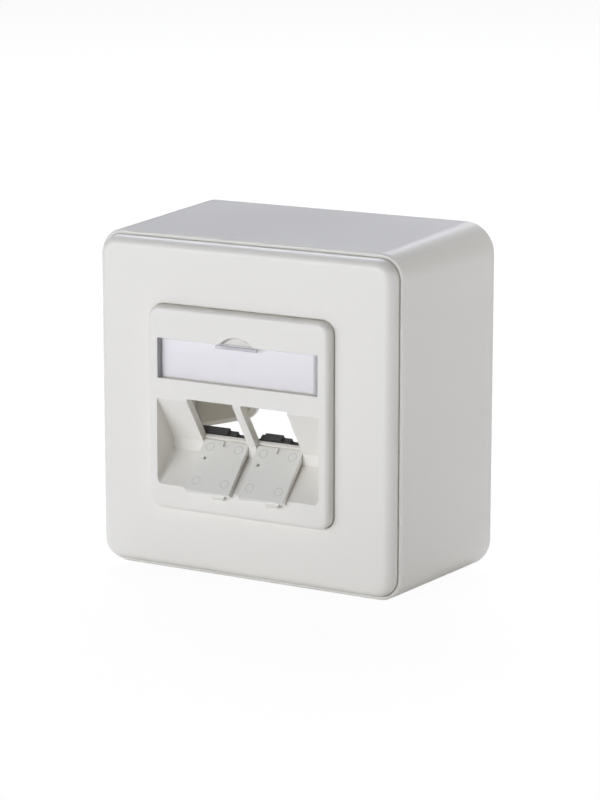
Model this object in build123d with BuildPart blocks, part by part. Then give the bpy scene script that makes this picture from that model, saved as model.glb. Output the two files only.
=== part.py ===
from build123d import *
from math import asin, atan2, cos, degrees, hypot, sin
import os

# Surface-mounted data outlet: flared box, cover frame, centre plate with two angled ports and dust flaps.
# Millimetres. Seen from the front, X runs right and Z up; the wall is the plane Y = 0, the room is at -Y.
# Names that end in _h are heights above the wall face, along -Y. Names that end in _z are heights along Z.

# Outer sizes: a standard centre plate, the frame's border round it, the box's depth and flare
plate_size = 50.0
frame_border = 16.5
box_depth_h = 44.0
box_flare = 1.6
frame_proud = 3.4
plate_proud = 2.6
box_rim_size = plate_size + 2 * frame_border
box_back_size = box_rim_size + 2 * box_flare
frame_face_h = box_depth_h + frame_proud
plate_face_h = frame_face_h + plate_proud

# Surface box
box_rim_radius = 6.0
box_back_radius = box_rim_radius + box_flare
box_wall = 2.2
box_floor = 2.5
rim_lip = 0.8
rebate_depth = 2.0
rim_edge_chamfer = 0.35
back_edge_chamfer = 0.4
opening_border = 3.5
opening_size = box_rim_size - 2 * opening_border
opening_radius = 22.0
opening_chamfer = 1.2
lug_length = 17.8
lug_root = 16.8
lug_tip = 12.1
lug_radius = 5.0
wall_hole_border = 6.5
wall_hole_pitch = box_rim_size - 2 * wall_hole_border
wall_hole_diameter = 4.2
knockout_diameter = 20.0
knockout_offset = 2.0
knockout_h = box_depth_h / 2 - knockout_offset
knockout_groove = 0.9
knockout_web = 1.1

# Device fixing: posts in the box, screws and sheet steel ring
post_border = 11.5
device_pitch = box_rim_size - 2 * post_border
post_diameter = 8.0
pilot_depth = 14.0
screw_diameter = 3.0
screw_clearance = 0.05
screw_length = 12.0
screw_head_diameter = 5.6
screw_head_height = 1.9
screw_head_chamfer = 0.6
screw_slot_width = 0.9
screw_slot_depth = 0.9
ring_border = 6.0
ring_size = box_rim_size - 2 * ring_border
ring_corner = 3.0
ring_thickness = 1.5
ring_drop = 1.5
ring_front_h = box_depth_h - ring_drop
ring_ledge_x = 0.5
ring_ledge_z = 3.0
ring_opening_x = plate_size - 2 * ring_ledge_x
ring_opening_z = plate_size - 2 * ring_ledge_z
ring_slot_width = 3.6
ring_slot_length = 10.0
ring_fold = 3.0
ring_fold_inset = 8.0
ring_fold_width = ring_size - 2 * ring_fold_inset

# Cover frame
frame_gap = 0.3
frame_roll = 2.4
frame_wall = 2.0
frame_collar = 1.5
frame_inner_edge = 0.25
plate_gap = 0.1

# Centre plate
plate_radius = 3.2
plate_roll = 1.3
plate_wall = 1.8
plate_front_wall = 2.0
hook_width = 6.0
hook_spacing = 24.0
hook_thickness = 1.6
hook_reach = 0.7
hook_length = 2.6
hook_nose = 0.6
hook_clearance = 0.1

# Port bay: a recess with a sloping back that carries the ports, a short step and a sloping floor
bay_border = 2.6
bay_half_width = plate_size / 2 - bay_border
bay_top_z = 2.2
bay_bottom_z = -18.9
slope_depth = 7.4
slope_end_h = plate_face_h - slope_depth
slope_end_z = -8.84
step_depth = 7.75
step_end_h = plate_face_h - step_depth
step_end_z = -11.7
bay_wall = 2.0
bay_side_wall = 1.6
bay_corner_radius = 1.2
port_width = 12.8
port_bar = 2.2
port_pitch = port_width + port_bar
port_low = 0.5
port_high = 13.79

# Label pocket, window with its half-moon tongue, and strip
label_border = 2.85
label_width = plate_size - 2 * label_border
label_height = 9.85
label_centre_z = 12.22
pocket_depth = 2.0
pocket_floor = 1.2
pocket_rim = 1.2
window_clearance = 0.15
window_thickness = 1.15
grip_width = 11.4
grip_height = 0.8
grip_rise = 0.75
grip_inset = 0.1
grip_edge_radius = 0.25
strip_slack_x = 2.3
strip_slack_z = 0.55
strip_width = label_width - strip_slack_x
strip_height = label_height - strip_slack_z
strip_thickness = 0.25
strip_shift = -0.9
tongue_width = 9.4
tongue_rise = 1.95
tongue_thickness = 0.5
tongue_clearance = 0.1

# Dust flaps, hinged at the lower end of each port and shown open
flap_thickness = 1.1
flap_length = 14.1
flap_side_gap = 0.15
flap_stop_gap = 0.12
flap_seat_gap = 0.05
hinge_along = -0.55
barrel_gap = 0.1
relief_length = 3.0
pin_diameter = 0.8
pin_fit = 0.05
pin_length = 0.85
pin_end_gap = 0.1
notch_width = 1.2
notch_length = 1.8
notch_depth = 0.55
vent_diameter = 0.9
vent_x = -4.2
vent_along = 4.95
tab_width = 3.2
tab_x = 3.0
tab_length = 0.9
tab_thickness = 0.5
tab_rise = 0.35
tab_root = 0.8

# Dark module holder behind the sloping wall
holder_border = 5.4
holder_half_width = plate_size / 2 - holder_border
holder_side = 2.0
holder_thickness = 2.0
holder_stand = 2.2
holder_low = -3.6
holder_rail_top = -1.4
holder_opening_top = 13.2
holder_high = 14.6
rail_front = 0.5
pad_low = 0.5
pad_high = 9.5
clip_low = 3.0
clip_high = 7.0
clip_thickness = 1.2
clip_gap = 0.2
clip_reach = 0.8
clip_end = 0.9
tooth_low_left = -6.65
tooth_block_left = -5.4
tooth_block_right = -0.5
tooth_mid_right = 1.6
tooth_low_right = 4.3
tooth_left_top = 0.3
tooth_block_top = 1.0
tooth_mid_top = 0.15
tooth_low_top = -0.85
end_block_width = 5.0

# Planes: wall_plane.offset(h) lies h above the wall; side_plane has h along its first axis and Z along its second
wall_plane = Plane.XZ
side_plane = Plane(origin=(0, 0, 0), x_dir=(0, -1, 0), z_dir=(-1, 0, 0))
slope_run_h = plate_face_h - slope_end_h
slope_run_z = bay_top_z - slope_end_z
slope_length = hypot(slope_run_h, slope_run_z)
up_h = slope_run_h / slope_length
up_z = slope_run_z / slope_length
slope_plane = Plane(origin=(0, -slope_end_h, slope_end_z), x_dir=(1, 0, 0), z_dir=(0, -up_z, -up_h))
slope_side = Plane(origin=(0, -slope_end_h, slope_end_z), x_dir=(0, -up_h, up_z), z_dir=(1, 0, 0))
port_centres = (-port_pitch / 2, port_pitch / 2)


def box_size(h):
    return box_back_size + (box_rim_size - box_back_size) * h / box_depth_h


def box_radius(h):
    return box_back_radius + (box_size(h) - box_back_size) / 2


box_taper = degrees(atan2(box_flare, box_depth_h))


# The hinge axis lies half a flap behind the slope, just past its lower end
hinge_depth = -flap_thickness / 2 - flap_seat_gap
hinge_h = slope_end_h + up_h * hinge_along + up_z * hinge_depth
hinge_z = slope_end_z + up_z * hinge_along - up_h * hinge_depth

# Open, the flap leans on the lower front edge of the bay
stop_h = plate_face_h - hinge_h
stop_z = hinge_z - bay_bottom_z
stop_angle = atan2(stop_z, stop_h)
open_angle = stop_angle - asin((flap_thickness / 2 + flap_stop_gap) / hypot(stop_h, stop_z))
closed_angle = atan2(up_z, up_h)
print("flap travel", round(degrees(open_angle + closed_angle), 2), "degrees")
print("hinge axis at Y", round(-hinge_h, 4), "Z", round(hinge_z, 4))

post_x = device_pitch / 2
ring_back_h = ring_front_h - ring_thickness
rebate_h = box_depth_h - rebate_depth

os.makedirs("parts", exist_ok=True)

# Fixing lug in the back wall: a tapered tongue with round corners that carries a post
with BuildSketch(wall_plane) as lug:
    with BuildLine():
        lug_end = box_back_size / 2 - box_wall
        lug_outline = Polyline(
            (lug_end, lug_root),
            (lug_end - lug_length, lug_tip),
            (lug_end - lug_length, -lug_tip),
            (lug_end, -lug_root),
            close=True,
        )
    make_face()
    fillet(lug.vertices().group_by(Axis.X)[0], radius=lug_radius)

# Surface box: flared shell, rebated rim, open back with two lugs, posts and break-outs
with BuildPart() as surface_box:
    with BuildSketch(wall_plane):
        RectangleRounded(box_back_size, box_back_size, box_back_radius)
    extrude(amount=box_depth_h, taper=box_taper)
    with BuildSketch(wall_plane.offset(box_floor)):
        inner_size = box_size(box_floor) - 2 * box_wall
        RectangleRounded(inner_size, inner_size, box_radius(box_floor) - box_wall)
    extrude(amount=rebate_h - box_floor, taper=box_taper, mode=Mode.SUBTRACT)
    with BuildSketch(wall_plane.offset(rebate_h)):
        rebate_size = box_rim_size - 2 * rim_lip
        RectangleRounded(rebate_size, rebate_size, box_rim_radius - rim_lip)
    extrude(amount=rebate_depth, mode=Mode.SUBTRACT)
    rim_edges = surface_box.faces().sort_by(Axis.Y)[0].outer_wire().edges()
    chamfer(rim_edges, length=rim_edge_chamfer)
    back_edges = surface_box.faces().sort_by(Axis.Y)[-1].outer_wire().edges()
    chamfer(back_edges, length=back_edge_chamfer)
    with BuildSketch(wall_plane):
        RectangleRounded(opening_size, opening_size, opening_radius)
        add(lug.sketch_local, mode=Mode.SUBTRACT)
        add(mirror(lug.sketch_local, about=Plane.YZ, mode=Mode.PRIVATE), mode=Mode.SUBTRACT)
    extrude(amount=box_floor, mode=Mode.SUBTRACT)
    floor_face = surface_box.faces().filter_by(Axis.Y).group_by(Axis.Y)[-2].sort_by(SortBy.AREA)[-1]
    chamfer(floor_face.inner_wires().edges(), length=opening_chamfer)
    with BuildSketch(wall_plane):
        with GridLocations(wall_hole_pitch, wall_hole_pitch, 2, 2):
            Circle(wall_hole_diameter / 2)
    extrude(amount=box_floor, mode=Mode.SUBTRACT)
    with BuildSketch(wall_plane.offset(box_floor)):
        with GridLocations(device_pitch, 0, 2, 1):
            Circle(post_diameter / 2)
    extrude(amount=ring_back_h - box_floor)
    with BuildSketch(wall_plane.offset(ring_back_h)):
        with GridLocations(device_pitch, 0, 2, 1):
            Circle(screw_diameter / 2 + screw_clearance)
    extrude(amount=-pilot_depth, mode=Mode.SUBTRACT)
    knockout_floor = box_size(knockout_h) / 2 - knockout_web
    with BuildSketch(Plane.XY) as knockout:
        with Locations((0, -knockout_h)):
            Circle(knockout_diameter / 2)
            Circle(knockout_diameter / 2 - knockout_groove, mode=Mode.SUBTRACT)
    extrude(knockout.sketch, amount=knockout_floor, both=True, mode=Mode.SUBTRACT)
surface_box.part.label = "surface_box"
export_step(surface_box.part, "parts/surface_box.step")

# Cover frame: soft rolled edge, hollow back, collar round the square opening
frame_size = box_rim_size - 2 * (rim_lip + frame_gap)
frame_radius = box_rim_radius - rim_lip - frame_gap
frame_opening = plate_size + 2 * plate_gap
with BuildPart() as cover_frame:
    with BuildSketch(wall_plane.offset(rebate_h)):
        RectangleRounded(frame_size, frame_size, frame_radius)
    extrude(amount=frame_face_h - rebate_h)
    front_edges = cover_frame.faces().sort_by(Axis.Y)[0].edges()
    fillet(front_edges, radius=frame_roll)
    with BuildSketch(wall_plane.offset(rebate_h)):
        hollow_size = frame_size - 2 * frame_wall
        RectangleRounded(hollow_size, hollow_size, frame_radius - frame_wall)
        collar_size = frame_opening + 2 * frame_collar
        RectangleRounded(collar_size, collar_size, plate_radius + frame_collar, mode=Mode.SUBTRACT)
    extrude(amount=frame_face_h - frame_wall - rebate_h, mode=Mode.SUBTRACT)
    with BuildSketch(wall_plane.offset(rebate_h)):
        RectangleRounded(frame_opening, frame_opening, plate_radius + plate_gap)
    extrude(amount=frame_face_h - rebate_h, mode=Mode.SUBTRACT)
    with BuildSketch(wall_plane.offset(rebate_h)):
        RectangleRounded(collar_size, collar_size, plate_radius + frame_collar)
    extrude(amount=ring_front_h - rebate_h, mode=Mode.SUBTRACT)
    opening_edges = cover_frame.faces().sort_by(Axis.Y)[0].inner_wires().edges()
    chamfer(opening_edges, length=frame_inner_edge)
cover_frame.part.label = "cover_frame"
export_step(cover_frame.part, "parts/cover_frame.step")

# Steel ring: flat sheet with slots at the four device positions and folded upper and lower edges
with BuildPart() as support_ring:
    with BuildSketch(wall_plane.offset(ring_back_h)):
        ring_blank = Rectangle(ring_size, ring_size)
        chamfer(ring_blank.vertices(), length=ring_corner)
        Rectangle(ring_opening_x, ring_opening_z, mode=Mode.SUBTRACT)
        with GridLocations(device_pitch, 0, 2, 1):
            SlotOverall(ring_slot_length, ring_slot_width, rotation=90, mode=Mode.SUBTRACT)
        with GridLocations(0, device_pitch, 1, 2):
            SlotOverall(ring_slot_length, ring_slot_width, mode=Mode.SUBTRACT)
    extrude(amount=ring_thickness)
    with BuildSketch(wall_plane.offset(ring_back_h)):
        with GridLocations(0, ring_size - ring_thickness, 1, 2):
            Rectangle(ring_fold_width, ring_thickness)
    extrude(amount=-ring_fold)
    fold_corners = support_ring.edges().filter_by(Axis.X).group_by(Axis.Y)[0].sort_by(Axis.Z)
    fillet([fold_corners[0], fold_corners[-1]], radius=ring_thickness / 2)
support_ring.part.label = "support_ring"
export_step(support_ring.part, "parts/support_ring.step")



# A device screw that pulls the ring onto its post
def make_screw(centre, slot_angle):
    with BuildPart() as screw:
        with BuildSketch(wall_plane.offset(ring_front_h)):
            with Locations((centre, 0)):
                Circle(screw_head_diameter / 2)
        extrude(amount=screw_head_height)
        head_edges = screw.faces().sort_by(Axis.Y)[0].edges()
        chamfer(head_edges, length=screw_head_chamfer)
        with BuildSketch(wall_plane.offset(ring_front_h)):
            with Locations((centre, 0)):
                Circle(screw_diameter / 2)
        extrude(amount=-screw_length)
        with BuildSketch(wall_plane.offset(ring_front_h + screw_head_height)):
            with Locations((centre, 0)):
                Rectangle(screw_head_diameter, screw_slot_width, rotation=slot_angle)
                Rectangle(screw_head_diameter, screw_slot_width, rotation=slot_angle + 90)
        extrude(amount=-screw_slot_depth, mode=Mode.SUBTRACT)
    return screw


for name, centre, slot_angle in (("screw_left", -post_x, 35), ("screw_right", post_x, 12)):
    screw = make_screw(centre, slot_angle)
    screw.part.label = name
    export_step(screw.part, f"parts/{name}.step")

# Bay section, seen from the side: sloping port wall, short step, sloping floor
with BuildSketch(side_plane) as bay_section:
    with BuildLine():
        Polyline(
            (plate_face_h, bay_top_z),
            (slope_end_h, slope_end_z),
            (step_end_h, step_end_z),
            (plate_face_h, bay_bottom_z),
            close=True,
        )
    make_face()

plate_back_h = plate_face_h - plate_front_wall
label_floor_h = plate_face_h - pocket_depth
hook_back_h = ring_back_h - hook_clearance
hook_face = ring_opening_z / 2 - hook_clearance
barrel_radius = flap_thickness / 2
flap_width = port_width - 2 * flap_side_gap

# The window's half-moon tongue, with its centre so that it stands tongue_rise above the pocket's upper edge
tongue_radius = ((tongue_width / 2) ** 2 + tongue_rise**2) / (2 * tongue_rise)
label_top_z = label_centre_z + label_height / 2
tongue_centre_z = label_top_z + tongue_rise - tongue_radius
window_back_h = label_floor_h + strip_thickness
window_front_h = window_back_h + window_thickness
tongue_back_h = window_front_h - tongue_thickness

# Centre plate: rolled front edge, label pocket, port bay, hinge sockets and snap hooks
with BuildPart() as centre_plate:
    with BuildSketch(wall_plane.offset(ring_front_h)):
        RectangleRounded(plate_size, plate_size, plate_radius)
    extrude(amount=plate_face_h - ring_front_h)
    face_edges = centre_plate.faces().sort_by(Axis.Y)[0].edges()
    fillet(face_edges, radius=plate_roll)
    with BuildSketch(wall_plane.offset(ring_front_h)):
        hollow_size = plate_size - 2 * plate_wall
        RectangleRounded(hollow_size, hollow_size, plate_radius - plate_wall)
    extrude(amount=plate_back_h - ring_front_h, mode=Mode.SUBTRACT)
    with BuildSketch(wall_plane.offset(label_floor_h - pocket_floor)):
        with Locations((0, label_centre_z)):
            Rectangle(label_width + 2 * pocket_rim, label_height + 2 * pocket_rim)
    extrude(amount=plate_front_wall)
    with BuildSketch(side_plane):
        add(bay_section.sketch_local)
        offset(amount=bay_wall, kind=Kind.INTERSECTION)
        with Locations((plate_face_h - plate_front_wall / 2, 0)):
            Rectangle(plate_size, plate_size, align=(Align.MIN, Align.CENTER), mode=Mode.SUBTRACT)
    extrude(amount=bay_half_width + bay_side_wall, both=True)
    extrude(bay_section.sketch, amount=bay_half_width, both=True, mode=Mode.SUBTRACT)
    floor_middle = Vector(0, -(step_end_h + plate_face_h) / 2, (step_end_z + bay_bottom_z) / 2)
    floor_face = centre_plate.faces().filter_by(GeomType.PLANE).sort_by_distance(floor_middle)[0]
    floor_ends = floor_face.edges().sort_by(Axis.X)
    fillet([floor_ends[0], floor_ends[-1]], radius=bay_corner_radius)

    # Ports: a shallow seat as wide as the flap's recess, and a through hole that leaves a sill below it
    seat_depth = flap_thickness + 2 * flap_seat_gap
    with BuildSketch(slope_plane.offset(bay_wall / 2)):
        with Locations((0, (hinge_along + port_high) / 2)):
            with GridLocations(port_pitch, 0, 2, 1):
                Rectangle(port_width, port_high - hinge_along)
    extrude(amount=-bay_wall / 2 - seat_depth, mode=Mode.SUBTRACT)
    with BuildSketch(slope_plane):
        with Locations((0, (port_low + port_high) / 2)):
            with GridLocations(port_pitch, 0, 2, 1):
                Rectangle(port_width, port_high - port_low)
    extrude(amount=-2 * bay_wall, mode=Mode.SUBTRACT)
    for centre in port_centres:
        with BuildSketch(Plane(origin=(centre, -hinge_h, hinge_z), x_dir=(0, 1, 0), z_dir=(1, 0, 0))):
            Circle(barrel_radius + barrel_gap)
        extrude(amount=port_width / 2, both=True, mode=Mode.SUBTRACT)
        with BuildSketch(Plane(origin=(centre, -hinge_h, hinge_z), x_dir=(0, 1, 0), z_dir=(1, 0, 0))):
            Circle(pin_diameter / 2 + pin_fit)
        extrude(amount=port_width / 2 + pin_length + pin_end_gap, both=True, mode=Mode.SUBTRACT)
        open_side = (0, -cos(open_angle), -sin(open_angle))
        with BuildSketch(Plane(origin=(centre, -hinge_h, hinge_z), x_dir=open_side, z_dir=(-1, 0, 0))):
            Rectangle(relief_length, 2 * (barrel_radius + barrel_gap), align=(Align.MIN, Align.CENTER))
        extrude(amount=port_width / 2, both=True, mode=Mode.SUBTRACT)

    # Label pocket and the seat of the window's tongue
    with BuildSketch(wall_plane.offset(plate_face_h)):
        with Locations((0, label_centre_z)):
            Rectangle(label_width, label_height)
    extrude(amount=-pocket_depth, mode=Mode.SUBTRACT)
    with BuildSketch(wall_plane.offset(plate_face_h)):
        with Locations((0, tongue_centre_z)):
            Circle(tongue_radius)
        with Locations((0, label_centre_z)):
            Rectangle(label_width, 2 * label_height, align=(Align.CENTER, Align.MIN), mode=Mode.INTERSECT)
    extrude(amount=tongue_back_h - plate_face_h, mode=Mode.SUBTRACT)

    # Hooks that pass through the ring and catch behind it
    for side in (1, -1):
        for centre in (-hook_spacing / 2, hook_spacing / 2):
            with BuildSketch(Plane(origin=(centre, 0, 0), x_dir=(0, -1, 0), z_dir=(-1, 0, 0))):
                with BuildLine():
                    Polyline(
                        (plate_back_h, side * (hook_face - hook_thickness)),
                        (plate_back_h, side * hook_face),
                        (hook_back_h, side * hook_face),
                        (hook_back_h, side * (hook_face + hook_reach)),
                        (hook_back_h - hook_nose, side * (hook_face + hook_reach)),
                        (hook_back_h - hook_length, side * (hook_face - hook_reach)),
                        (hook_back_h - hook_length, side * (hook_face - hook_thickness)),
                        close=True,
                    )
                make_face()
            extrude(amount=hook_width / 2, both=True)

    # Clips that hold the module holder against the back of the sloping wall
    holder_back = bay_wall + holder_stand + holder_thickness
    clip_x = holder_half_width + clip_gap + clip_thickness / 2
    with BuildSketch(slope_plane.offset(-bay_wall)):
        with Locations((0, (clip_low + clip_high) / 2)):
            with GridLocations(2 * clip_x, 0, 2, 1):
                Rectangle(clip_thickness, clip_high - clip_low)
    extrude(amount=bay_wall - holder_back - hook_clearance - clip_end)
    with BuildSketch(slope_plane.offset(-holder_back - hook_clearance)):
        with Locations((0, (clip_low + clip_high) / 2)):
            with GridLocations(2 * clip_x - clip_reach, 0, 2, 1):
                Rectangle(clip_thickness + clip_reach, clip_high - clip_low)
    extrude(amount=-clip_end)
centre_plate.part.label = "centre_plate"
export_step(centre_plate.part, "parts/centre_plate.step")

# Label strip: paper that has slid to the left end of its pocket
with BuildPart() as label_strip:
    with BuildSketch(wall_plane.offset(label_floor_h)):
        with Locations((strip_shift, label_centre_z)):
            Rectangle(strip_width, strip_height)
    extrude(amount=strip_thickness)
label_strip.part.label = "label_strip"
export_step(label_strip.part, "parts/label_strip.step")

# Clear label window, pressed onto the strip, with a half-moon tongue and a finger grip at its upper edge
window_height = label_height - 2 * window_clearance
with BuildPart() as label_window:
    with BuildSketch(wall_plane.offset(window_back_h)):
        with Locations((0, label_centre_z)):
            Rectangle(label_width - 2 * window_clearance, window_height)
    extrude(amount=window_thickness)
    with BuildSketch(wall_plane.offset(tongue_back_h)):
        with Locations((0, tongue_centre_z)):
            Circle(tongue_radius - tongue_clearance)
        with Locations((0, label_centre_z)):
            Rectangle(label_width, 2 * label_height, align=(Align.CENTER, Align.MIN), mode=Mode.INTERSECT)
    extrude(amount=tongue_thickness)
    with BuildSketch(wall_plane.offset(window_front_h)):
        with Locations((0, label_centre_z + window_height / 2 - grip_inset - grip_height / 2)):
            Rectangle(grip_width, grip_height)
    extrude(amount=grip_rise)
    grip_edges = label_window.faces().sort_by(Axis.Y)[0].edges().filter_by(Axis.X)
    fillet(grip_edges, radius=grip_edge_radius)
label_window.part.label = "label_window"
export_step(label_window.part, "parts/label_window.step")


# A flap's own planes: along it from the hinge, across it, and square to its inner face
def make_flap(centre):
    hinge = (centre, -hinge_h, hinge_z)
    along = (0, -cos(open_angle), -sin(open_angle))
    inward = (0, -sin(open_angle), cos(open_angle))
    section = Plane(origin=hinge, x_dir=along, z_dir=(-1, 0, 0))
    inner_face = Plane(origin=hinge, x_dir=(1, 0, 0), z_dir=inward).offset(flap_thickness / 2)
    with BuildPart() as flap:
        with BuildSketch(section):
            Circle(flap_thickness / 2)
            Rectangle(flap_length, flap_thickness, align=(Align.MIN, Align.CENTER))
        extrude(amount=flap_width / 2, both=True)
        with BuildSketch(section):
            Circle(pin_diameter / 2)
        extrude(amount=flap_width / 2 + flap_side_gap + pin_length, both=True)
        with BuildSketch(Plane(origin=(centre + tab_x, -hinge_h, hinge_z), x_dir=along, z_dir=(-1, 0, 0))):
            with Locations((flap_length - tab_root, -flap_thickness / 2 - tab_rise)):
                Rectangle(tab_root + tab_length, tab_thickness, align=(Align.MIN, Align.MIN))
        extrude(amount=tab_width / 2, both=True)
        with BuildSketch(inner_face):
            with Locations((0, flap_thickness / 2 - notch_length)):
                Rectangle(notch_width, notch_length, align=(Align.CENTER, Align.MIN))
        extrude(amount=-notch_depth, mode=Mode.SUBTRACT)
        with BuildSketch(inner_face):
            with Locations((vent_x, -vent_along)):
                Circle(vent_diameter / 2)
        extrude(amount=-flap_thickness, mode=Mode.SUBTRACT)
    return flap


for name, centre in zip(("flap_left", "flap_right"), port_centres):
    flap = make_flap(centre)
    flap.part.label = name
    export_step(flap.part, f"parts/{name}.step")

# Module holder: an open frame behind both ports, with a stepped rail in front that shows above each sill
with BuildPart() as module_holder:
    with BuildSketch(slope_plane.offset(-holder_back)):
        with Locations((0, holder_low)):
            Rectangle(2 * holder_half_width, holder_high - holder_low, align=(Align.CENTER, Align.MIN))
        with Locations((0, holder_low)):
            opening_x = 2 * (holder_half_width - holder_side)
            opening_s = holder_opening_top - holder_low
            Rectangle(opening_x, opening_s, align=(Align.CENTER, Align.MIN), mode=Mode.SUBTRACT)
    extrude(amount=holder_thickness)
    with BuildSketch(slope_plane.offset(holder_thickness - holder_back)):
        with Locations((0, pad_low)):
            with GridLocations(2 * holder_half_width - holder_side, 0, 2, 1):
                Rectangle(holder_side, pad_high - pad_low, align=(Align.CENTER, Align.MIN))
    extrude(amount=holder_stand)
    with BuildSketch(slope_plane.offset(holder_thickness - holder_back)):
        with Locations((0, holder_low)):
            rail_height = holder_rail_top - holder_low
            Rectangle(2 * holder_half_width, rail_height, align=(Align.CENTER, Align.MIN))
        block_height = tooth_block_top - holder_low
        with Locations((-holder_half_width, holder_low)):
            left_block_width = holder_half_width + port_centres[0] + tooth_block_left
            Rectangle(left_block_width, block_height, align=(Align.MIN, Align.MIN))
        with Locations((holder_half_width, holder_low)):
            Rectangle(end_block_width, block_height, align=(Align.MAX, Align.MIN))
        for centre in port_centres:
            with BuildLine():
                Polyline(
                    (centre + tooth_low_left, holder_low),
                    (centre + tooth_low_left, tooth_left_top),
                    (centre + tooth_block_left, tooth_left_top),
                    (centre + tooth_block_left, tooth_block_top),
                    (centre + tooth_block_right, tooth_block_top),
                    (centre + tooth_block_right, tooth_mid_top),
                    (centre + tooth_mid_right, tooth_mid_top),
                    (centre + tooth_mid_right, tooth_low_top),
                    (centre + tooth_low_right, tooth_low_top),
                    (centre + tooth_low_right, holder_low),
                    close=True,
                )
            make_face()
    extrude(amount=holder_stand - rail_front)
module_holder.part.label = "module_holder"
export_step(module_holder.part, "parts/module_holder.step")
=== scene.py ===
import math

import bmesh
import bpy
from mathutils import Matrix, Vector


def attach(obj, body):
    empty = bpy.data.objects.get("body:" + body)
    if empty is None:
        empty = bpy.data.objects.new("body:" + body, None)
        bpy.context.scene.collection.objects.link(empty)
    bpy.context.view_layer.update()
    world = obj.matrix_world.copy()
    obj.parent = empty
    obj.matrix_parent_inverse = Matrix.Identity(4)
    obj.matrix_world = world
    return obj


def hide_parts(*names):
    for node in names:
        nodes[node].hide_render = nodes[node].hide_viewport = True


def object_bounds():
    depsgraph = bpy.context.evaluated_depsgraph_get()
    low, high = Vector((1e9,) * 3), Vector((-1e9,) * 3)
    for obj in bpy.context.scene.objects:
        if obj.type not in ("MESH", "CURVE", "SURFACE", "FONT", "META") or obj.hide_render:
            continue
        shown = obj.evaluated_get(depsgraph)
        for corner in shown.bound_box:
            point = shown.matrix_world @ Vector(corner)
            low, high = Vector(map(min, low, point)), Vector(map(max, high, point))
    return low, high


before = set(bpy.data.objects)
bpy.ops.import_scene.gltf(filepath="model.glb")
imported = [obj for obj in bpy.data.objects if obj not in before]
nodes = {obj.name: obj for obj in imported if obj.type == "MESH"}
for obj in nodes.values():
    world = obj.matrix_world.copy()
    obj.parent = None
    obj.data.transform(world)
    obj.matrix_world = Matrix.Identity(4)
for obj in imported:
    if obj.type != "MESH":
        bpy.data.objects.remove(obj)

# Surface-mounted data outlet: off-white flared box, rolled cover frame, centre plate with label window,
# two angled ports with open dust flaps. Metres, in the CAD frame: X right, Z up, wall face at Y = 0, room at -Y.

scene = bpy.context.scene
mm = 0.001


def boundsAsLists():
    low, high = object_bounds()
    return [list(low), list(high)]


cadBounds = boundsAsLists()

# The camera was solved from the photograph: long lens, a third of a turn to the right, slightly above
cameraSetup = {
    "turnDeg": 29.943,
    "tiltDeg": 12.312,
    "distance": 0.707518,
    "sideShift": 0.012106,
    "upShift": 0.002973,
    "aim": (0.0, -0.044, 0.0),
    "lens": 133.14,
    "sensor": 36.0,
}


def makeCamera(setup):
    turn, tilt = math.radians(setup["turnDeg"]), math.radians(setup["tiltDeg"])
    look = Vector((-math.sin(turn) * math.cos(tilt), math.cos(turn) * math.cos(tilt), -math.sin(tilt)))
    right = Vector((math.cos(turn), math.sin(turn), 0))
    up = right.cross(look)
    place = Vector(setup["aim"]) - look * setup["distance"] + right * setup["sideShift"] + up * setup["upShift"]
    data = bpy.data.cameras.new("photoCamera")
    data.sensor_fit = "AUTO"
    data.sensor_width = setup["sensor"]
    data.lens = setup["lens"]
    data.clip_start, data.clip_end = 0.01, 20
    camera = bpy.data.objects.new("photoCamera", data)
    turned = Matrix((right, up, -look)).transposed().to_4x4()
    camera.matrix_world = Matrix.Translation(place) @ turned
    scene.collection.objects.link(camera)
    scene.camera = camera


makeCamera(cameraSetup)
print("camera placed")


# Node helpers: a small tree builder for materials

def addNode(tree, kind, inputs=None, **settings):
    node = tree.nodes.new(kind)
    for key, value in settings.items():
        setattr(node, key, value)
    for key, value in (inputs or {}).items():
        socket = node.inputs[key]
        if isinstance(value, bpy.types.NodeSocket):
            tree.links.new(value, socket)
        else:
            socket.default_value = value
    return node


def newMaterial(name):
    material = bpy.data.materials.new(name)
    material.use_nodes = True
    tree = material.node_tree
    tree.nodes.clear()
    output = tree.nodes.new("ShaderNodeOutputMaterial")
    shader = tree.nodes.new("ShaderNodeBsdfPrincipled")
    tree.links.new(shader.outputs[0], output.inputs["Surface"])
    coords = tree.nodes.new("ShaderNodeTexCoord")
    return material, tree, shader, coords.outputs["Object"]


def tint(rgb, factor):
    return (rgb[0] * factor, rgb[1] * factor, rgb[2] * factor, 1.0)


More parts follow.
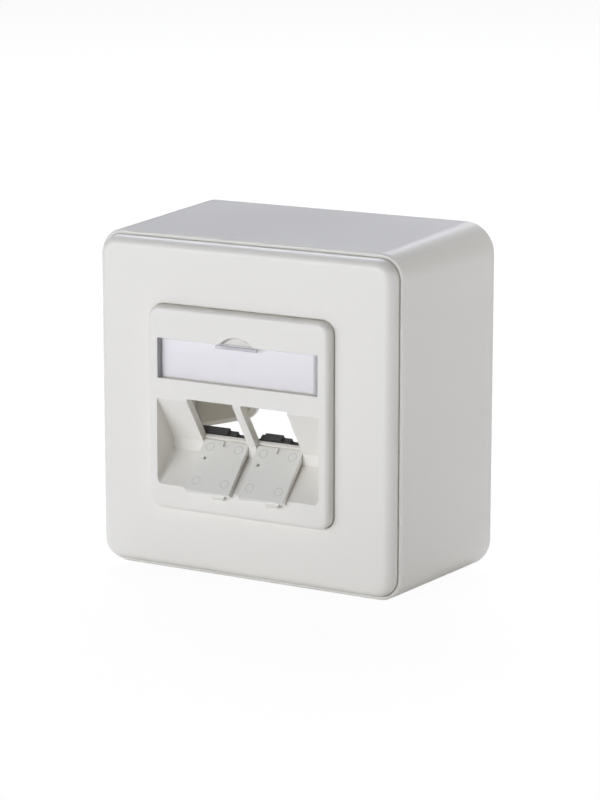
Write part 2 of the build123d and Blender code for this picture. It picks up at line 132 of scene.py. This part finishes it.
# Moulded plastic: faint cloudy tone, fine dust specks, a pebbled skin and edges softened by a tiny radius
def mouldedPlastic(name, look):
    material, tree, shader, place = newMaterial(name)
    cloud = addNode(tree, "ShaderNodeTexNoise", {"Vector": place, "Scale": look["cloudScale"], "Detail": 3.0,
                                                 "Roughness": 0.5})
    grain = addNode(tree, "ShaderNodeTexNoise", {"Vector": place, "Scale": look["grainScale"], "Detail": 2.0,
                                                 "Roughness": 0.6})
    cloudTone = addNode(tree, "ShaderNodeMix", {"Factor": cloud.outputs["Fac"], 6: tint(look["colour"], look["dark"]),
                                                7: tint(look["colour"], look["light"])}, data_type="RGBA")
    speck = addNode(tree, "ShaderNodeValToRGB", {"Fac": grain.outputs["Fac"]})
    speck.color_ramp.elements[0].position = 0.24
    speck.color_ramp.elements[0].color = (look["speck"],) * 3 + (1,)
    speck.color_ramp.elements[1].position = 0.33
    speck.color_ramp.elements[1].color = (1, 1, 1, 1)
    tone = addNode(tree, "ShaderNodeMix", {"Factor": 1.0, 6: cloudTone.outputs[2], 7: speck.outputs["Color"]},
                   data_type="RGBA", blend_type="MULTIPLY")
    tree.links.new(tone.outputs[2], shader.inputs["Base Color"])
    gloss = addNode(tree, "ShaderNodeMapRange", {"Value": cloud.outputs["Fac"], "To Min": look["roughLow"],
                                                 "To Max": look["roughHigh"]})
    tree.links.new(gloss.outputs[0], shader.inputs["Roughness"])
    soft = addNode(tree, "ShaderNodeBevel", {"Radius": look["edge"]}, samples=4)
    pebble = addNode(tree, "ShaderNodeTexNoise", {"Vector": place, "Scale": look["pebbleScale"], "Detail": 2.0,
                                                  "Roughness": 0.5})
    bump = addNode(tree, "ShaderNodeBump", {"Strength": look["pebble"], "Distance": look["pebbleDepth"],
                                            "Height": pebble.outputs["Fac"], "Normal": soft.outputs[0]})
    tree.links.new(bump.outputs[0], shader.inputs["Normal"])
    shader.inputs["IOR"].default_value = look["ior"]
    shader.inputs["Specular IOR Level"].default_value = look["specular"]
    return material


# Zinc-plated steel: streaky tone and roughness
def platedSteel(name, look):
    material, tree, shader, place = newMaterial(name)
    stretch = addNode(tree, "ShaderNodeMapping", {"Vector": place, "Scale": look["streak"]})
    streak = addNode(tree, "ShaderNodeTexNoise", {"Vector": stretch.outputs[0], "Scale": look["scale"], "Detail": 4.0})
    spangle = addNode(tree, "ShaderNodeTexVoronoi", {"Vector": place, "Scale": look["spangleScale"]})
    both = addNode(tree, "ShaderNodeMath", {0: streak.outputs["Fac"], 1: spangle.outputs["Distance"]},
                   operation="MULTIPLY")
    tone = addNode(tree, "ShaderNodeMix", {"Factor": both.outputs[0], 6: tint(look["colour"], 0.8),
                                           7: tint(look["colour"], 1.15)}, data_type="RGBA")
    tree.links.new(tone.outputs[2], shader.inputs["Base Color"])
    gloss = addNode(tree, "ShaderNodeMapRange", {"Value": streak.outputs["Fac"], "To Min": look["roughLow"],
                                                 "To Max": look["roughHigh"]})
    tree.links.new(gloss.outputs[0], shader.inputs["Roughness"])
    bump = addNode(tree, "ShaderNodeBump", {"Strength": 0.25, "Distance": 0.00004, "Height": streak.outputs["Fac"]})
    tree.links.new(bump.outputs[0], shader.inputs["Normal"])
    shader.inputs["Metallic"].default_value = 1.0
    return material


# Printer paper: fibres as a stretched fine noise
def labelPaper(name, look):
    material, tree, shader, place = newMaterial(name)
    stretch = addNode(tree, "ShaderNodeMapping", {"Vector": place, "Scale": (1.0, 1.0, 2.6)})
    fibre = addNode(tree, "ShaderNodeTexNoise", {"Vector": stretch.outputs[0], "Scale": look["fibreScale"],
                                                 "Detail": 6.0, "Roughness": 0.7})
    cloud = addNode(tree, "ShaderNodeTexNoise", {"Vector": place, "Scale": 60.0, "Detail": 2.0})
    blend = addNode(tree, "ShaderNodeMath", {0: fibre.outputs["Fac"], 1: cloud.outputs["Fac"]},
                    operation="MULTIPLY")
    tone = addNode(tree, "ShaderNodeMix", {"Factor": blend.outputs[0], 6: tint(look["colour"], 0.97),
                                           7: tint(look["colour"], 1.03)}, data_type="RGBA")
    tree.links.new(tone.outputs[2], shader.inputs["Base Color"])
    rough = addNode(tree, "ShaderNodeMapRange", {"Value": fibre.outputs["Fac"], "To Min": 0.75, "To Max": 0.95})
    tree.links.new(rough.outputs[0], shader.inputs["Roughness"])
    bump = addNode(tree, "ShaderNodeBump", {"Strength": 0.3, "Distance": 0.00003, "Height": fibre.outputs["Fac"]})
    tree.links.new(bump.outputs[0], shader.inputs["Normal"])
    return material


# A soft step from 0 to 1 as a value passes an edge
def softStep(tree, value, edge, width):
    step = addNode(tree, "ShaderNodeMapRange", {"Value": value, "From Min": edge - width, "From Max": edge + width},
                   interpolation_type="SMOOTHSTEP")
    return step.outputs[0]


def blend(tree, factor, first, second):
    mix = addNode(tree, "ShaderNodeMix", {"Factor": factor, 6: first, 7: second}, data_type="RGBA")
    return mix.outputs[2]


def calculate(tree, operation, first, second=0.0):
    return addNode(tree, "ShaderNodeMath", {0: first, 1: second}, operation=operation).outputs[0]


# Clear styrene: nearly invisible over the paper, with a faint tongue; its grey border and grey grip are painted shade
def clearPlastic(name, look):
    material, tree, shader, place = newMaterial(name)
    haze = addNode(tree, "ShaderNodeTexNoise", {"Vector": place, "Scale": 90.0, "Detail": 3.0})
    parts = addNode(tree, "ShaderNodeSeparateXYZ", {"Vector": place})
    rise = calculate(tree, "ABSOLUTE", calculate(tree, "SUBTRACT", parts.outputs["Z"], look["middleZ"]))
    height = calculate(tree, "MULTIPLY", parts.outputs["Y"], -1.0)
    # Painted shade: a grey band at the right end and along the top and bottom edges
    borderAcross = softStep(tree, parts.outputs["X"], look["borderX"], 0.00012)
    borderUp = softStep(tree, rise, look["borderZ"], 0.00010)
    border = calculate(tree, "MAXIMUM", borderAcross, borderUp)
    tongue = softStep(tree, calculate(tree, "SUBTRACT", parts.outputs["Z"], look["middleZ"]), look["tongueZ"], 0.00003)
    # Painted shade: the grip bar is coloured grey
    grip = softStep(tree, height, look["gripH"], 0.00002)
    clear = blend(tree, haze.outputs["Fac"], tint(look["colour"], 0.97), tint(look["colour"], 1.03))
    shadedBorder = blend(tree, border, clear, tint(look["borderShadeColour"], 1.0))
    tongued = blend(tree, tongue, shadedBorder, tint(look["tongueColour"], 1.0))
    tree.links.new(blend(tree, grip, tongued, tint(look["gripShadeColour"], 1.0)), shader.inputs["Base Color"])
    cover = calculate(tree, "MAXIMUM", calculate(tree, "MULTIPLY", borderAcross, look["borderAlphaX"]),
                      calculate(tree, "MULTIPLY", borderUp, look["borderAlphaZ"]))
    cover = calculate(tree, "MAXIMUM", cover, calculate(tree, "MULTIPLY", tongue, look["tongueAlpha"]))
    cover = calculate(tree, "MAXIMUM", cover, calculate(tree, "MULTIPLY", grip, look["gripAlpha"]))
    cover = calculate(tree, "MAXIMUM", cover, look["alpha"])
    tree.links.new(cover, shader.inputs["Alpha"])
    gloss = addNode(tree, "ShaderNodeMapRange", {"Value": haze.outputs["Fac"], "To Min": look["roughLow"],
                                                 "To Max": look["roughHigh"]})
    tree.links.new(gloss.outputs[0], shader.inputs["Roughness"])
    bump = addNode(tree, "ShaderNodeBump", {"Strength": 0.1, "Distance": 0.00003, "Height": haze.outputs["Fac"]})
    tree.links.new(bump.outputs[0], shader.inputs["Normal"])
    shader.inputs["IOR"].default_value = 1.49
    return material


plasticLook = {
    "colour": (0.85, 0.821, 0.745), "dark": 0.985, "light": 1.015, "speck": 0.985,
    "cloudScale": 28.0, "grainScale": 900.0, "pebbleScale": 2600.0, "pebble": 0.22, "pebbleDepth": 0.00003,
    "roughLow": 0.34, "roughHigh": 0.42, "edge": 0.00012, "ior": 1.5, "specular": 0.5,
}
flapLook = dict(plasticLook, colour=(0.88, 0.86, 0.785), edge=0.00008)
# Darker tone of the ejector marks: painted shade
markShadeLook = dict(flapLook, colour=(0.70, 0.68, 0.62))
boxLook = dict(plasticLook, colour=(0.835, 0.81, 0.74))
holderLook = dict(plasticLook, colour=(0.062, 0.063, 0.060), dark=0.8, light=1.25, roughLow=0.45, roughHigh=0.6)
steelLook = {"colour": (0.62, 0.62, 0.63), "streak": (6.0, 1.0, 1.0), "scale": 120.0, "spangleScale": 700.0,
             "roughLow": 0.28, "roughHigh": 0.5}
screwLook = dict(steelLook, colour=(0.70, 0.68, 0.60), streak=(1.0, 3.0, 1.0))
paperLook = {"colour": (0.89, 0.858, 0.852), "fibreScale": 2400.0}
# The window's grey border and grip colours are painted shade
windowLook = {
    "colour": (0.92, 0.92, 0.95), "alpha": 0.012, "roughLow": 0.08, "roughHigh": 0.16, "middleZ": 0.01222,
    "borderX": 0.0211, "borderZ": 0.00462, "borderShadeColour": (0.36, 0.35, 0.38), "borderAlphaX": 0.75,
    "borderAlphaZ": 0.12, "tongueZ": 0.00480, "tongueAlpha": 0.04, "tongueColour": (0.97, 0.96, 0.97),
    "gripH": 0.04943, "gripAlpha": 0.6, "gripShadeColour": (0.60, 0.585, 0.60),
}
# Dark grey of the window ends: painted shade
windowEndShadeLook = dict(plasticLook, colour=(0.36, 0.35, 0.36), dark=0.8, light=1.3, roughLow=0.18, roughHigh=0.3,
                     edge=0.00004)

finishes = {
    "surface_box": mouldedPlastic("boxPlastic", boxLook),
    "cover_frame": mouldedPlastic("framePlastic", plasticLook),
    "centre_plate": mouldedPlastic("platePlastic", plasticLook),
    "flap_left": mouldedPlastic("flapPlastic", flapLook),
    "support_ring": platedSteel("ringSteel", steelLook),
    "screw_left": platedSteel("screwSteel", screwLook),
    "label_strip": labelPaper("labelPaper", paperLook),
    "label_window": clearPlastic("windowClear", windowLook),
    "module_holder": mouldedPlastic("holderPlastic", holderLook),
}
# Window-end material: painted shade beside the paper
windowEndShade = mouldedPlastic("windowEndShade", windowEndShadeLook)
markShadePlastic = mouldedPlastic("markShadePlastic", markShadeLook)
finishes["flap_right"] = finishes["flap_left"]
finishes["screw_right"] = finishes["screw_left"]
for nodeName, material in finishes.items():
    for materialSlot in nodes[nodeName].material_slots:
        materialSlot.material = material
print("materials on", len(finishes), "nodes")

# Small repeated details: Geometry Nodes grow them on a few guide points, then they become plain meshes

def startTree(name, sizes):
    tree = bpy.data.node_groups.new(name, "GeometryNodeTree")
    tree.interface.new_socket("Guide", in_out="INPUT", socket_type="NodeSocketGeometry")
    sockets = {}
    for label, kind in sizes.items():
        sockets[label] = tree.interface.new_socket(label, in_out="INPUT", socket_type=kind).identifier
    tree.interface.new_socket("Result", in_out="OUTPUT", socket_type="NodeSocketGeometry")
    return tree, tree.nodes.new("NodeGroupInput"), sockets


def endTree(tree, source, shape):
    realize = addNode(tree, "GeometryNodeRealizeInstances", {"Geometry": shape})
    finish = addNode(tree, "GeometryNodeSetMaterial", {"Geometry": realize.outputs[0],
                                                       "Material": source.outputs["Finish"]})
    output = tree.nodes.new("NodeGroupOutput")
    tree.links.new(finish.outputs[0], output.inputs[0])


# Rings: a thin round lip on every guide point
def makeRingTree():
    tree, source, sockets = startTree("ringOnPoints", {"Ring radius": "NodeSocketFloat", "Lip radius": "NodeSocketFloat",
                                                       "Finish": "NodeSocketMaterial"})
    ring = addNode(tree, "GeometryNodeCurvePrimitiveCircle", {"Resolution": 28, "Radius": source.outputs["Ring radius"]})
    lip = addNode(tree, "GeometryNodeCurvePrimitiveCircle", {"Resolution": 8, "Radius": source.outputs["Lip radius"]})
    tube = addNode(tree, "GeometryNodeCurveToMesh", {"Curve": ring.outputs[0], "Profile Curve": lip.outputs[0]})
    placed = addNode(tree, "GeometryNodeInstanceOnPoints", {"Points": source.outputs["Guide"], "Instance": tube.outputs[0]})
    endTree(tree, source, placed.outputs[0])
    return tree, sockets


# Nibs: torn bits of paper of uneven width on every guide point
def makeNibTree():
    tree, source, sockets = startTree("nibOnPoints", {"Width": "NodeSocketFloat", "Height": "NodeSocketFloat",
                                                      "Thickness": "NodeSocketFloat", "Seed": "NodeSocketInt",
                                                      "Finish": "NodeSocketMaterial"})
    size = addNode(tree, "ShaderNodeCombineXYZ", {"X": source.outputs["Width"], "Y": source.outputs["Thickness"],
                                                  "Z": source.outputs["Height"]})
    nib = addNode(tree, "GeometryNodeMeshCube", {"Size": size.outputs[0]})
    uneven = addNode(tree, "FunctionNodeRandomValue", {0: (0.45, 1.0, 0.7), 1: (1.3, 1.0, 1.0),
                                                       "Seed": source.outputs["Seed"]}, data_type="FLOAT_VECTOR")
    placed = addNode(tree, "GeometryNodeInstanceOnPoints", {"Points": source.outputs["Guide"], "Instance": nib.outputs[0],
                                                            "Scale": uneven.outputs[0]})
    endTree(tree, source, placed.outputs[0])
    return tree, sockets


def growOnPoints(name, points, frameMatrix, treeAndSockets, values):
    tree, sockets = treeAndSockets
    guide = bpy.data.meshes.new(name + "Guide")
    guide.from_pydata(points, [], [])
    holder = bpy.data.objects.new(name, guide)
    scene.collection.objects.link(holder)
    modifier = holder.modifiers.new("grow", "NODES")
    modifier.node_group = tree
    for label, value in values.items():
        modifier[sockets[label]] = value
    grown = bpy.data.meshes.new_from_object(holder.evaluated_get(bpy.context.evaluated_depsgraph_get()))
    holder.modifiers.clear()
    holder.data = grown
    grown.transform(frameMatrix)
    grown.name = name
    finish = grown.materials[-1]
    grown.materials.clear()
    grown.materials.append(finish)
    return holder


ringTree = makeRingTree()
nibTree = makeNibTree()

# Round ejector marks on the inner face of each open flap, in a darker tone that paints their shade
ejectorMarks = {
    "hinge": (-0.0417954, -0.0089628), "faceLift": 0.00041, "portX": 0.0075, "openDeg": 47.5,
    "acrossX": 0.0040, "alongNear": 0.0017, "alongFar": 0.0113, "ringRadius": 0.00108, "lipRadius": 0.00018,
}


def makeEjectorMarks(body, centreX, look):
    tilt = math.radians(look["openDeg"])
    along = Vector((0, -math.cos(tilt), -math.sin(tilt)))
    outward = Vector((0, -math.sin(tilt), math.cos(tilt)))
    across = along.cross(outward)
    start = Vector((centreX, look["hinge"][0], look["hinge"][1])) + outward * look["faceLift"]
    face = Matrix.Translation(start) @ Matrix((across, along, outward)).transposed().to_4x4()
    points = [(x, y, 0.0) for x in (-look["acrossX"], look["acrossX"]) for y in (look["alongNear"], look["alongFar"])]
    marks = growOnPoints(body + "Marks", points, face, ringTree,
                         {"Ring radius": look["ringRadius"], "Lip radius": look["lipRadius"],
                          "Finish": markShadePlastic})
    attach(marks, body)


makeEjectorMarks("left_flap", -ejectorMarks["portX"], ejectorMarks)
makeEjectorMarks("right_flap", ejectorMarks["portX"], ejectorMarks)
print("ejector marks on both flaps")

# The paper strip, a thin sheet with slightly wavy cut edges and torn nibs, stands for the plain solid
paperStrip = {"left": -0.0219, "right": 0.0201, "bottomZ": 0.00757, "topZ": 0.01687, "backH": 0.0480,
              "frontH": 0.0482, "steps": 84, "wave": 0.00003}
labelNibs = {"firstX": -0.0196, "pitch": 0.00435, "count": 9, "topZ": 0.01696, "bottomZ": 0.00748, "middleH": 0.04810,
             "width": 0.0009, "height": 0.00022, "thickness": 0.00016, "seed": 7}

# The gate mark is a faint ring where the window was filled
gateMark = {"place": (-0.0017, -0.0494, 0.0120), "ringRadius": 0.00075, "lipRadius": 0.00003}


def makePaperStrip(look, nibLook):
    points = []
    for number in range(nibLook["count"]):
        x = nibLook["firstX"] + nibLook["pitch"] * number
        points.append((x, -nibLook["middleH"], nibLook["topZ"]))
        points.append((x + nibLook["pitch"] * 0.2, -nibLook["middleH"], nibLook["bottomZ"]))
    strip = growOnPoints("paperStrip", points, Matrix(), nibTree,
                         {"Width": nibLook["width"], "Height": nibLook["height"], "Thickness": nibLook["thickness"],
                          "Seed": nibLook["seed"], "Finish": finishes["label_strip"]})
    sheet = bmesh.new()
    sheet.from_mesh(strip.data)
    columns = []
    for step in range(look["steps"] + 1):
        share = step / look["steps"]
        x = look["left"] + (look["right"] - look["left"]) * share
        wave = look["wave"] * math.sin(share * 37.0) * math.sin(share * 11.0)
        corners = [(look["bottomZ"] + wave, look["frontH"]), (look["topZ"] + wave, look["frontH"]),
                   (look["topZ"] + wave, look["backH"]), (look["bottomZ"] + wave, look["backH"])]
        columns.append([sheet.verts.new((x, -h, z)) for z, h in corners])
    for left, right in zip(columns, columns[1:]):
        for number in range(4):
            after = (number + 1) % 4
            sheet.faces.new((left[number], right[number], right[after], left[after]))
    sheet.faces.new(columns[0])
    sheet.faces.new(columns[-1])
    bmesh.ops.recalc_face_normals(sheet, faces=sheet.faces)
    sheet.to_mesh(strip.data)
    sheet.free()
    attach(strip, "box")
    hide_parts("label_strip")


def makeGateMark(look):
    face = Matrix.Translation(look["place"]) @ Matrix.Rotation(math.pi / 2, 4, "X")
    mark = growOnPoints("windowGateMark", [(0, 0, 0)], face, ringTree,
                        {"Ring radius": look["ringRadius"], "Lip radius": look["lipRadius"],
                         "Finish": finishes["label_window"]})
    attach(mark, "window")


# Upright ends of the window in dark grey: painted shade for the shaded band beside the paper
windowEnds = {"innerX": 0.02199, "outerX": 0.02213, "lowZ": 0.00736, "highZ": 0.01708, "lowH": 0.04828,
              "highH": 0.0499, "bevel": 0.00003}


def makeWindowEnds(look):
    ends = bmesh.new()
    for side in (-1, 1):
        made = bmesh.ops.create_cube(ends, size=1.0)["verts"]
        middle = Vector((side * (look["innerX"] + look["outerX"]) / 2, -(look["lowH"] + look["highH"]) / 2,
                         (look["lowZ"] + look["highZ"]) / 2))
        size = (look["outerX"] - look["innerX"], look["highH"] - look["lowH"], look["highZ"] - look["lowZ"])
        bmesh.ops.scale(ends, vec=size, verts=made)
        bmesh.ops.translate(ends, vec=middle, verts=made)
    bmesh.ops.bevel(ends, geom=ends.edges[:], offset=look["bevel"], segments=2, affect="EDGES")
    bmesh.ops.recalc_face_normals(ends, faces=ends.faces)
    mesh = bpy.data.meshes.new("windowEnds")
    ends.to_mesh(mesh)
    ends.free()
    piece = bpy.data.objects.new("windowEnds", mesh)
    scene.collection.objects.link(piece)
    mesh.materials.append(windowEndShade)
    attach(piece, "window")


# A thin lip low in the slot between the cover frame and the rim of the box, which keeps dust out
slotLip = {"innerHalf": 0.04042, "outerHalf": 0.04068, "innerRadius": 0.00492, "lowH": 0.0421, "highH": 0.0438,
           "cornerSteps": 10}


def makeSlotLip(look):
    lip = bmesh.new()
    width = look["outerHalf"] - look["innerHalf"]
    rings = []
    for corner in range(4):
        for step in range(look["cornerSteps"] + 1):
            turn = math.pi / 2 * (corner + step / look["cornerSteps"])
            outward = Vector((math.cos(turn), 0, math.sin(turn)))
            half = look["innerHalf"] - look["innerRadius"]
            signX, signZ = ((1, 1), (-1, 1), (-1, -1), (1, -1))[corner]
            inner = Vector((signX * half, 0, signZ * half)) + outward * look["innerRadius"]
            outer = inner + outward * width
            rings.append([lip.verts.new((point.x, -h, point.z)) for point, h in
                          ((inner, look["lowH"]), (outer, look["lowH"]), (outer, look["highH"] - width / 3),
                           ((inner + outer) / 2, look["highH"]), (inner, look["highH"] - width / 3))])
    for number, ring in enumerate(rings):
        after = rings[(number + 1) % len(rings)]
        for side in range(5):
            nextSide = (side + 1) % 5
            lip.faces.new((ring[side], after[side], after[nextSide], ring[nextSide]))
    bmesh.ops.recalc_face_normals(lip, faces=lip.faces)
    mesh = bpy.data.meshes.new("slotLip")
    lip.to_mesh(mesh)
    lip.free()
    piece = bpy.data.objects.new("slotLip", mesh)
    scene.collection.objects.link(piece)
    mesh.materials.append(finishes["cover_frame"])
    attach(piece, "box")


makeWindowEnds(windowEnds)
makeSlotLip(slotLip)
print("window ends and slot lip made")

makePaperStrip(paperStrip, labelNibs)
makeGateMark(gateMark)
print("paper strip and gate mark made")

# Floor and studio light: a white floor and background, a large soft light from the left, and soft ones from the front,
# above, behind and the right
studio = {
    "floorSize": 6.0, "floorGlow": 0.01, "floorShade": 0.10,
    "worldStrength": 0.01,
}
studioLights = {
    "keyLight": {"place": (-0.75, -1.29, 0.06), "size": 1.0, "power": 13.6, "colour": (0.90, 0.925, 1.0)},
    "frontLight": {"place": (-0.10, -1.50, 0.07), "size": 0.8, "power": 12.7, "colour": (0.90, 0.925, 1.0)},
    "topLight": {"place": (-0.55, 0.75, 1.05), "size": 0.9, "power": 13.0, "colour": (0.84, 0.87, 1.0)},
    "rearLight": {"place": (-0.20, 1.26, 0.76), "size": 0.7, "power": 1.2, "colour": (0.93, 0.94, 1.0)},
    "rightLight": {"place": (1.33, 0.27, 0.02), "size": 1.2, "power": 13.0, "colour": (0.93, 0.94, 1.0)},
    "backLight": {"place": (0.05, 0.70, 0.05), "size": 0.6, "power": 3.4, "colour": (1.0, 0.97, 0.90)},
}


def cameraOnly(tree, seen, unseen):
    rays = tree.nodes.new("ShaderNodeLightPath")
    mix = tree.nodes.new("ShaderNodeMixShader")
    tree.links.new(rays.outputs["Is Camera Ray"], mix.inputs[0])
    tree.links.new(unseen, mix.inputs[1])
    tree.links.new(seen, mix.inputs[2])
    return mix.outputs[0]


def makeFloor(setup, height):
    half = setup["floorSize"] / 2
    mesh = bpy.data.meshes.new("floor")
    mesh.from_pydata([(-half, -half, height), (half, -half, height), (half, half, height), (-half, half, height)],
                     [], [(0, 1, 2, 3)])
    floor = bpy.data.objects.new("floor", mesh)
    scene.collection.objects.link(floor)
    material, tree, shader, place = newMaterial("floorWhite")
    shader.inputs["Base Color"].default_value = (0.93, 0.93, 0.93, 1)
    shader.inputs["Roughness"].default_value = 0.9
    shader.inputs["Emission Color"].default_value = (1, 1, 1, 1)
    shader.inputs["Emission Strength"].default_value = setup["floorGlow"]
    white = addNode(tree, "ShaderNodeEmission", {"Color": (1, 1, 1, 1), "Strength": 1.05})
    seen = addNode(tree, "ShaderNodeMixShader", {0: setup["floorShade"], 1: white.outputs[0], 2: shader.outputs[0]})
    surface = cameraOnly(tree, seen.outputs[0], shader.outputs[0])
    output = next(node for node in tree.nodes if node.type == "OUTPUT_MATERIAL")
    tree.links.new(surface, output.inputs["Surface"])
    mesh.materials.append(material)


def makeAreaLight(name, setup):
    data = bpy.data.lights.new(name, "AREA")
    data.shape = "SQUARE"
    data.size = setup["size"]
    data.energy = setup["power"]
    data.color = setup["colour"]
    lamp = bpy.data.objects.new(name, data)
    lamp.location = setup["place"]
    lamp.rotation_euler = (Vector((0, -0.02, 0)) - Vector(setup["place"])).to_track_quat("-Z", "Y").to_euler()
    scene.collection.objects.link(lamp)


makeFloor(studio, cadBounds[0][2])
for lightName, lightSetup in studioLights.items():
    makeAreaLight(lightName, lightSetup)
world = bpy.data.worlds.new("studioWorld")
scene.world = world
world.use_nodes = True
worldTree = world.node_tree
ambient = worldTree.nodes["Background"]
ambient.inputs["Color"].default_value = (1, 1, 1, 1)
ambient.inputs["Strength"].default_value = studio["worldStrength"]
whiteSky = addNode(worldTree, "ShaderNodeBackground", {"Color": (1, 1, 1, 1), "Strength": 1.0})
skySurface = cameraOnly(worldTree, whiteSky.outputs[0], ambient.outputs[0])
worldTree.links.new(skySurface, worldTree.nodes["World Output"].inputs["Surface"])
scene.view_settings.view_transform = "Standard"
print("floor and light ready")
